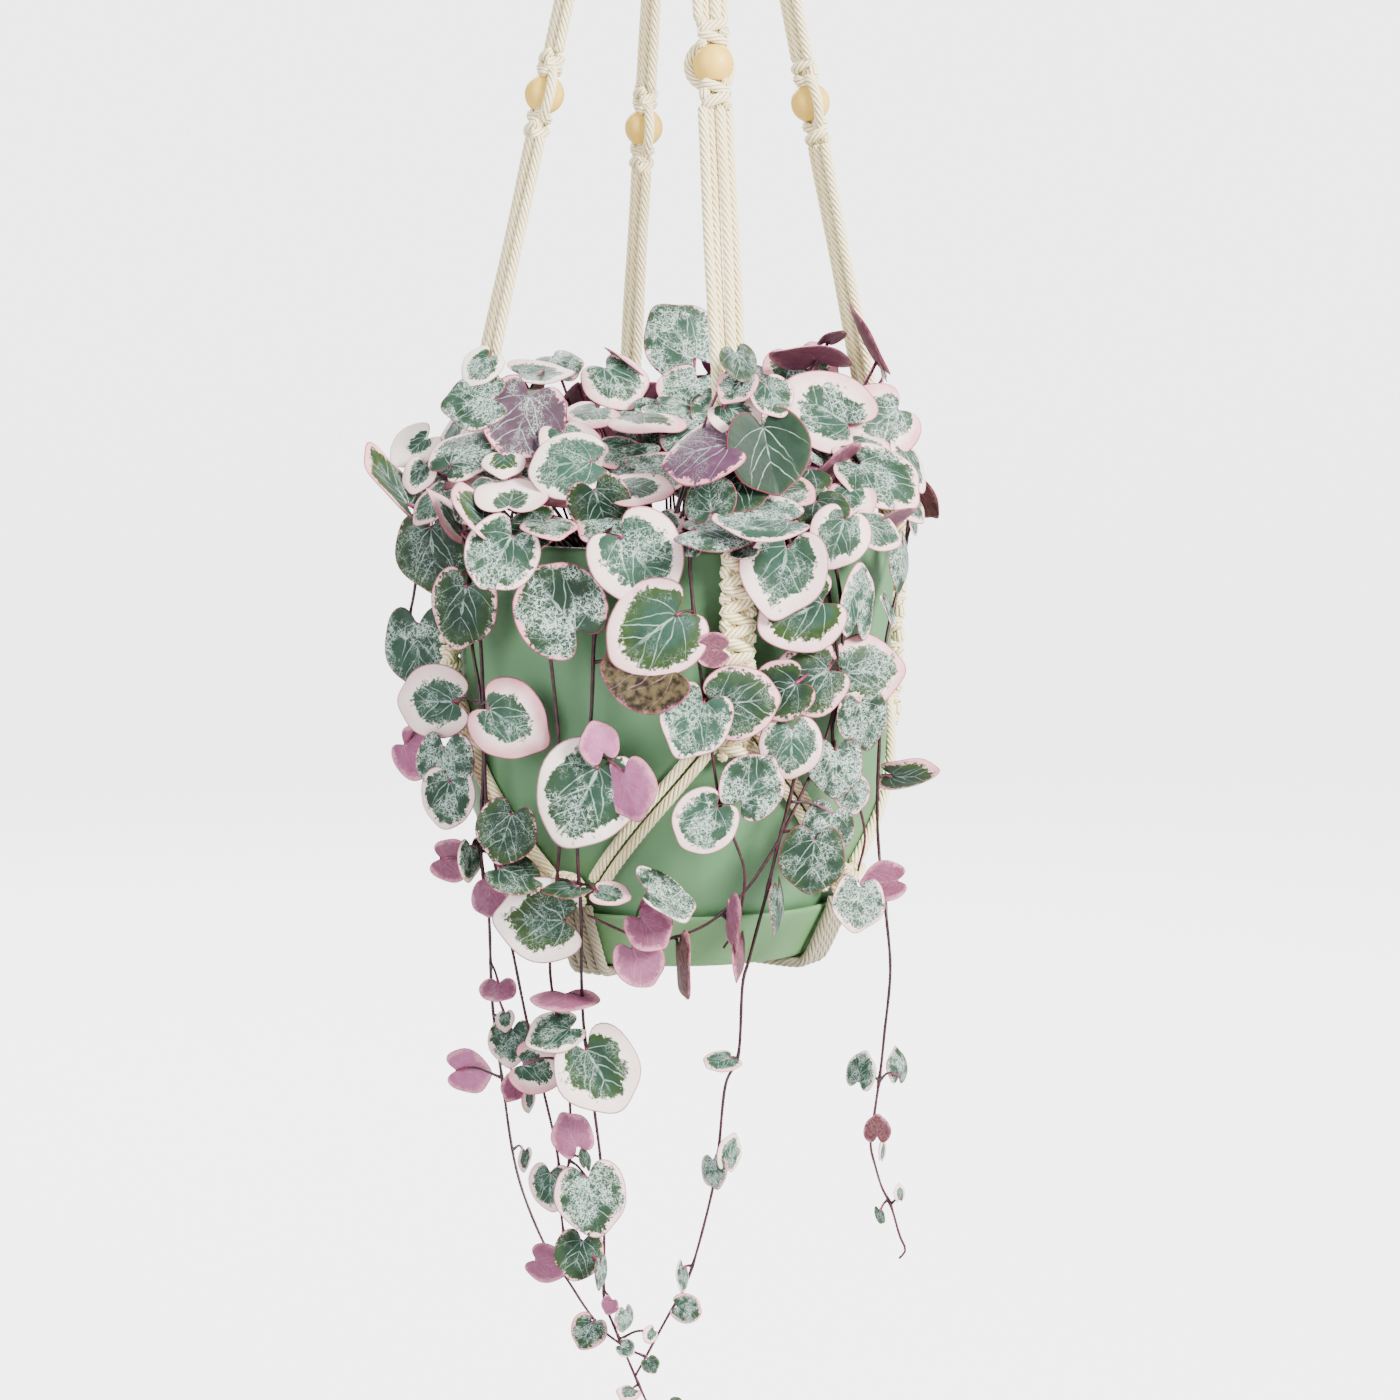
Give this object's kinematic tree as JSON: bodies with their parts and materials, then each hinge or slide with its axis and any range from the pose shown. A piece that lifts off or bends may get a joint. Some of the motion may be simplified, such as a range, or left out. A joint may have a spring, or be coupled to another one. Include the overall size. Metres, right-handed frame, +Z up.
{
  "type": "potted trailing plant in a knotted cord hanger",
  "caption": "Variegated string of hearts trailing from a tapered pot with a saucer, held by a four-legged knotted cord hanger with wooden beads and a hanging ring.",
  "frame": {"origin": "the point on the inside top of the hanging ring where a hook bears", "axes": "+Z up along the hanging line, -Y towards the front of the plant, +X to the viewer's right"},
  "size_m": [0.1843, 0.1869, 0.6963],
  "materials": {
    "ring_wood": "smooth pale wood, lightly sealed",
    "cotton_cord": "twisted natural cotton, undyed",
    "bead_wood": "smooth pale unfinished wood",
    "pot_plastic": "satin sage green, moulded",
    "saucer_plastic": "satin sage green, a little lighter than the pot",
    "potting_soil": "dark crumbly compost",
    "leaf": "fleshy green leaf with silvery mottling, cream to pink margin and pink underside"
  },
  "bodies": {
    "root": {"hanging_ring": "ring_wood", "ring_strands": "cotton_cord", "top_wrap": "cotton_cord", "upper_cords_1": "cotton_cord", "upper_cords_2": "cotton_cord", "upper_cords_3": "cotton_cord", "upper_cords_4": "cotton_cord", "bead_knots_1": "cotton_cord", "bead_knots_2": "cotton_cord", "bead_knots_3": "cotton_cord", "bead_knots_4": "cotton_cord", "lower_cords_1": "cotton_cord", "lower_cords_2": "cotton_cord", "lower_cords_3": "cotton_cord", "lower_cords_4": "cotton_cord", "knot_band_1": "cotton_cord", "knot_band_2": "cotton_cord", "knot_band_3": "cotton_cord", "knot_band_4": "cotton_cord", "branch_cords_1": "cotton_cord", "branch_cords_2": "cotton_cord", "branch_cords_3": "cotton_cord", "branch_cords_4": "cotton_cord", "cradle_knot_1": "cotton_cord", "cradle_knot_2": "cotton_cord", "cradle_knot_3": "cotton_cord", "cradle_knot_4": "cotton_cord", "base_cords_1": "cotton_cord", "base_cords_2": "cotton_cord", "base_cords_3": "cotton_cord", "base_cords_4": "cotton_cord", "bead_1": "bead_wood", "bead_2": "bead_wood", "bead_3": "bead_wood", "bead_4": "bead_wood", "base_knot": "cotton_cord", "pot": "pot_plastic", "saucer": "saucer_plastic", "soil": "potting_soil", "crown_front": "leaf", "crown_middle": "leaf", "crown_back": "leaf", "vine_a": "leaf", "vine_b": "leaf", "vine_c": "leaf", "vine_d": "leaf", "vine_e": "leaf", "vine_f": "leaf", "vine_g": "leaf", "vine_h": "leaf", "vine_i": "leaf", "vine_j": "leaf", "vine_k": "leaf", "vine_l": "leaf", "vine_m": "leaf", "vine_n": "leaf", "vine_o": "leaf", "vine_p": "leaf"}
  },
  "joints": []
}
